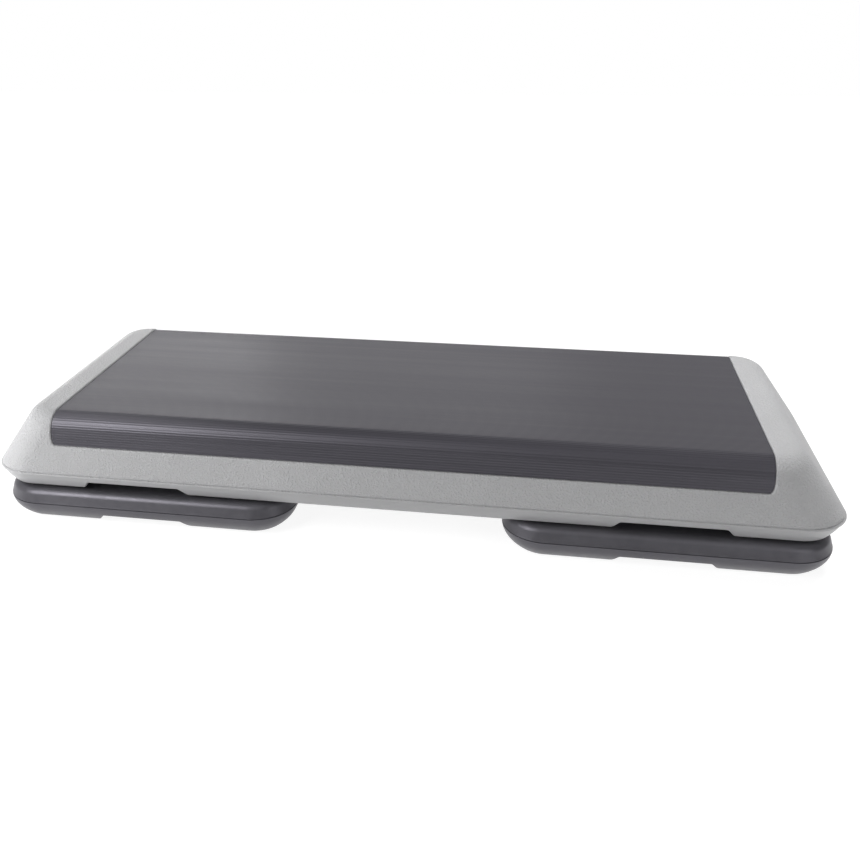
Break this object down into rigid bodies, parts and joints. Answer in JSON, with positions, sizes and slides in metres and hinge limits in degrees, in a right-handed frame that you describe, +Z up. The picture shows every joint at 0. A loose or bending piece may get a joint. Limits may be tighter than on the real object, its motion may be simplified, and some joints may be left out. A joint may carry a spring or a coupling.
{
  "type": "aerobic step platform",
  "caption": "Long low exercise step: a hollow moulded deck with sloped sides and a ribbed non-slip tread mat, nested on square stackable risers with finger notches.",
  "frame": {"origin": "on the floor under the middle of the deck", "axes": "+X along the deck, -Y to the front long side, +Z up"},
  "size_m": [1.0922, 0.4064, 0.1524],
  "materials": {
    "deck_plastic": "fine pebble grain above the parting line, smooth lip below it",
    "mat_rubber": "fine ribs along the deck, dull",
    "riser_plastic": "satin, faintly mottled",
    "foot_rubber": "dull"
  },
  "bodies": {
    "platform": {"deck_shell": "deck_plastic", "tread_mat": "mat_rubber", "deck_foot_front_left": "foot_rubber", "deck_foot_front_right": "foot_rubber", "deck_foot_back_left": "foot_rubber", "deck_foot_back_right": "foot_rubber"},
    "left_riser": {"left_riser": "riser_plastic", "left_riser_foot_front_left": "foot_rubber", "left_riser_foot_front_right": "foot_rubber", "left_riser_foot_back_left": "foot_rubber", "left_riser_foot_back_right": "foot_rubber"},
    "right_riser": {"right_riser": "riser_plastic", "right_riser_foot_front_left": "foot_rubber", "right_riser_foot_front_right": "foot_rubber", "right_riser_foot_back_left": "foot_rubber", "right_riser_foot_back_right": "foot_rubber"}
  },
  "joints": [
    {"name": "left_riser_lift_off", "type": "slide", "parent": "platform", "child": "left_riser", "axis": [0, 0, -1], "range_m": [0, 0.1]},
    {"name": "right_riser_lift_off", "type": "slide", "parent": "platform", "child": "right_riser", "axis": [0, 0, -1], "range_m": [0, 0.1]}
  ]
}
